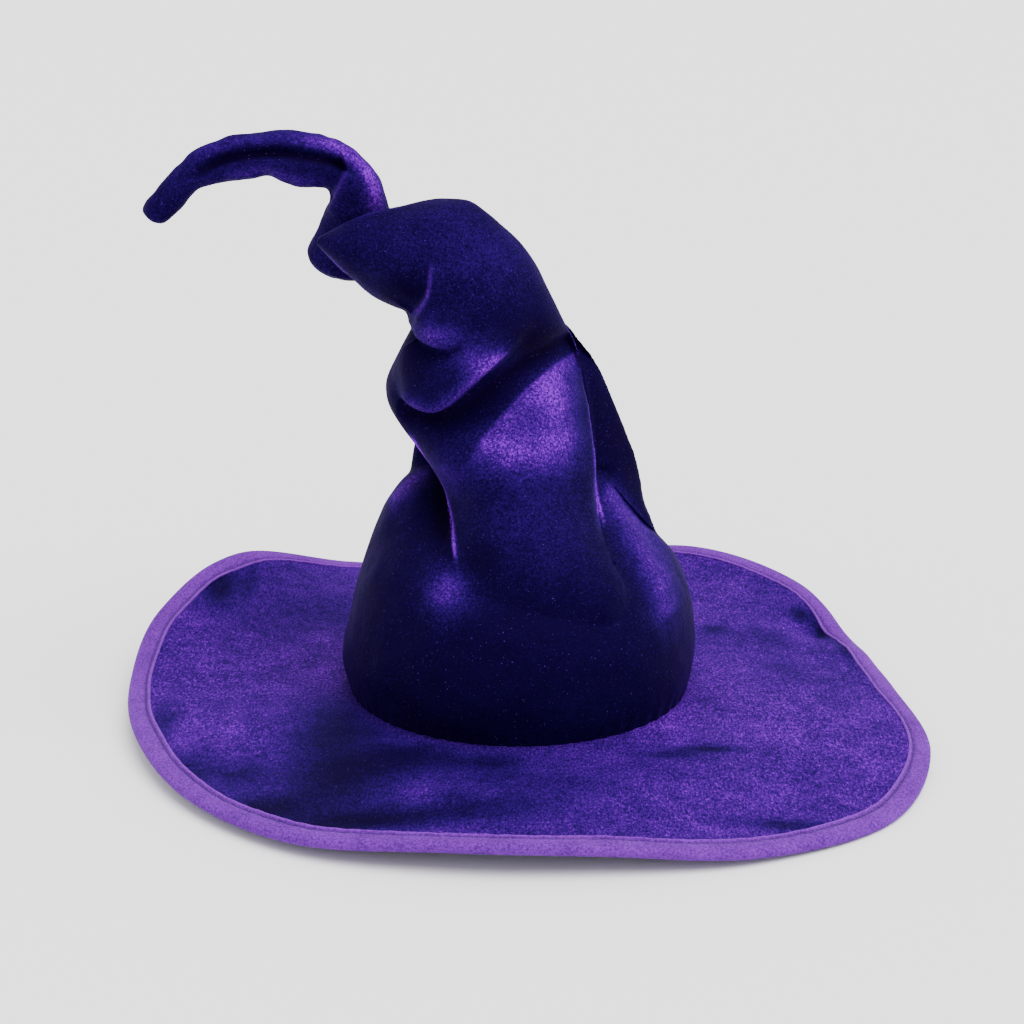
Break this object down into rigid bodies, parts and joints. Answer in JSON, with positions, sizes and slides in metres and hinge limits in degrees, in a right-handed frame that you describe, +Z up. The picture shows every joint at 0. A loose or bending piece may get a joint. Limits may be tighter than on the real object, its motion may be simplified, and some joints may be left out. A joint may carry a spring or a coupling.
{
  "type": "witch hat",
  "caption": "Wide-brimmed witch hat with a crooked stuffed velvet crown, a curled wired tip and a bound, gently waved brim.",
  "frame": {"origin": "middle of the hat's footprint, on the surface that the lowest waves of the brim rest on", "axes": "+Z up through the crown, -Y the front, -X the side that the tip curls to"},
  "size_m": [0.4327, 0.4328, 0.3203],
  "materials": {
    "velvet": "crushed velvet pile, dark face on and bright at grazing angles",
    "binding": "matte knitted bias binding",
    "felt": "matte stiffened felt",
    "lining": "satin lining cloth",
    "wadding": "loose polyester wadding",
    "thread": "polyester sewing thread",
    "wire": "plain steel wire"
  },
  "bodies": {
    "hat_base": {"brim_top_velvet": "velvet", "brim_felt_core": "felt", "brim_under_velvet": "velvet", "brim_binding": "binding", "brim_edge_wire": "wire", "binding_stitch_row": "thread", "lower_crown_velvet": "velvet", "crown_stiffener_band": "felt", "crown_lining": "lining", "sweatband": "lining", "lower_crown_wadding": "wadding"},
    "upper_crown": {"upper_crown_velvet": "velvet", "upper_crown_wadding": "wadding", "upper_crown_wire": "wire"},
    "tail": {"tail_velvet": "velvet", "tail_wadding": "wadding", "tail_wire": "wire"},
    "tip": {"tip_velvet": "velvet", "tip_wadding": "wadding", "tip_wire": "wire"}
  },
  "joints": [
    {"name": "crown_lean", "type": "hinge", "parent": "hat_base", "child": "upper_crown", "pos_m": [0.003, 0.004, 0.1317], "axis": [0, 1, 0], "range_deg": [-12, 12]},
    {"name": "tail_sway", "type": "hinge", "parent": "upper_crown", "child": "tail", "pos_m": [-0.095, 0.016, 0.2617], "axis": [0, 1, 0], "range_deg": [-20, 20]},
    {"name": "tip_curl", "type": "hinge", "parent": "tail", "child": "tip", "pos_m": [-0.0955, 0.017, 0.2997], "axis": [0, 1, 0], "range_deg": [-30, 45]}
  ]
}
